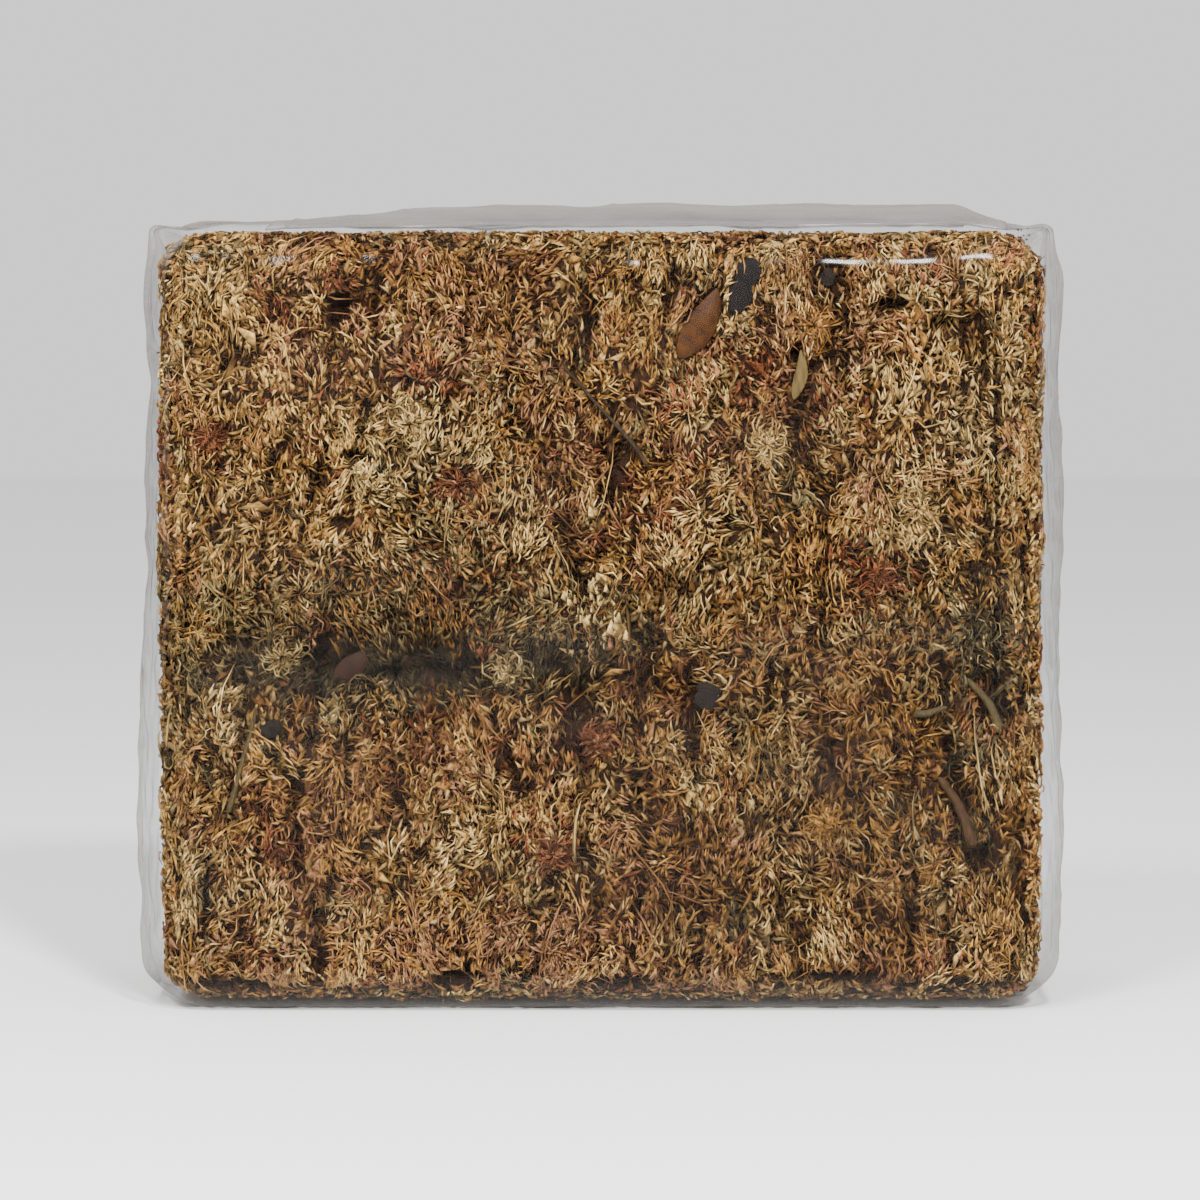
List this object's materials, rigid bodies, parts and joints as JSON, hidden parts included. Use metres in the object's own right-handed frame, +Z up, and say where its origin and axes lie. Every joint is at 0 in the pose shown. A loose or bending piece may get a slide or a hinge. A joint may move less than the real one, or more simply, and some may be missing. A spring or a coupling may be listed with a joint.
{
  "type": "wrapped sphagnum moss brick",
  "caption": "Pressed upright brick of dried long-fibre sphagnum moss, flecked with coloured moss heads and leaf litter, wrapped in a clear film bag.",
  "frame": {"origin": "on the surface that the brick stands on, below the middle of its box", "axes": "+X along the broad face, +Y from the front to the back, +Z up"},
  "size_m": [0.2357, 0.0989, 0.2026],
  "materials": {
    "moss_straw": "dried moss, straw to tan, matte",
    "moss_red": "dried moss head, red brown, matte",
    "moss_ochre": "dried moss head, ochre, matte",
    "moss_pale": "dried moss head, cream, matte",
    "moss_grey": "dried moss head, grey green, matte",
    "amber_leaf": "dried leaf, amber brown, satin",
    "brown_leaf": "dried leaf, dark brown, satin",
    "straw_blade": "dry grass blade, matte",
    "bark": "bark scrap, near black, matte",
    "peat": "peat scrap, grey brown, matte",
    "twig_bark": "thin twig, brown bark, satin",
    "dry_needle": "dry heath needle, olive brown, satin",
    "dark_stem": "thin dark stem, matte",
    "olive_stem": "thin olive stem, matte",
    "clear_film": "clear thin polythene film, glossy with a slight haze"
  },
  "bodies": {
    "root": {"moss_block": "moss_straw", "red_head_1": "moss_red", "red_head_2": "moss_red", "red_head_3": "moss_red", "red_head_4": "moss_red", "red_head_5": "moss_red", "ochre_head_1": "moss_ochre", "ochre_head_2": "moss_ochre", "ochre_head_3": "moss_ochre", "ochre_head_4": "moss_ochre", "pale_head_1": "moss_pale", "pale_head_2": "moss_pale", "pale_head_3": "moss_pale", "pale_head_4": "moss_pale", "grey_head_1": "moss_grey", "grey_head_2": "moss_grey", "grey_head_3": "moss_grey", "amber_leaf": "amber_leaf", "brown_leaf": "brown_leaf", "straw_blade": "straw_blade", "bark_flake_1": "bark", "peat_flake_1": "peat", "peat_flake_2": "peat", "peat_flake_3": "peat", "brown_twig": "twig_bark", "heath_needle_1": "dry_needle", "heath_needle_2": "dry_needle", "dark_stem": "dark_stem", "olive_stem": "olive_stem", "film_bag": "clear_film"}
  },
  "joints": []
}
